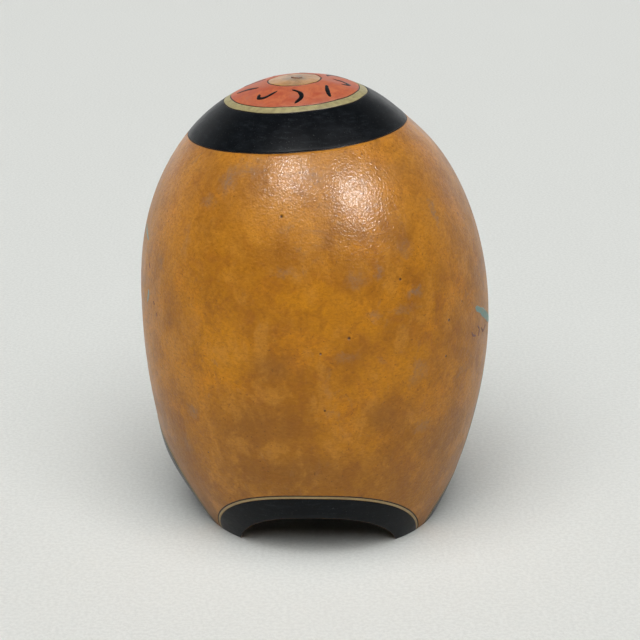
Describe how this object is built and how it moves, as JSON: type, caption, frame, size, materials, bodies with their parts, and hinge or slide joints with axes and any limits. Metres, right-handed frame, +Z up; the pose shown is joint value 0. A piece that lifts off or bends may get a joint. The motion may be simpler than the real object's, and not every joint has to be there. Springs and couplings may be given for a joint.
{
  "type": "decorated gourd shell",
  "caption": "Hollow dome-shaped gourd shell standing open side down on cut feet, with a painted crown and painted borders round its arches.",
  "frame": {"origin": "on the floor, under the middle of the object's box", "axes": "+Z up through the crown, -Y towards the front arch, +X to the viewer's right"},
  "size_m": [0.2002, 0.2002, 0.2587],
  "materials": {
    "rind": "polished and waxed gourd rind, golden brown and mottled",
    "black_paint": "satin black acrylic paint",
    "khaki_paint": "satin khaki acrylic paint",
    "red_paint": "satin orange-red acrylic paint, brushed thin",
    "teal_paint": "satin grey-green acrylic paint"
  },
  "bodies": {
    "root": {"gourd_shell": "rind", "collar_band": "black_paint", "cap_ring": "khaki_paint", "cap_mark_1": "black_paint", "cap_mark_2": "black_paint", "cap_mark_3": "black_paint", "cap_mark_4": "black_paint", "cap_mark_5": "black_paint", "cap_mark_6": "black_paint", "cap_mark_7": "black_paint", "cap_mark_8": "black_paint", "cap_mark_9": "black_paint", "cap_field": "red_paint", "arch_line_front": "khaki_paint", "arch_border_front": "black_paint", "arch_line_right": "khaki_paint", "arch_border_right": "black_paint", "arch_line_left": "khaki_paint", "arch_border_left": "black_paint"}
  },
  "joints": []
}
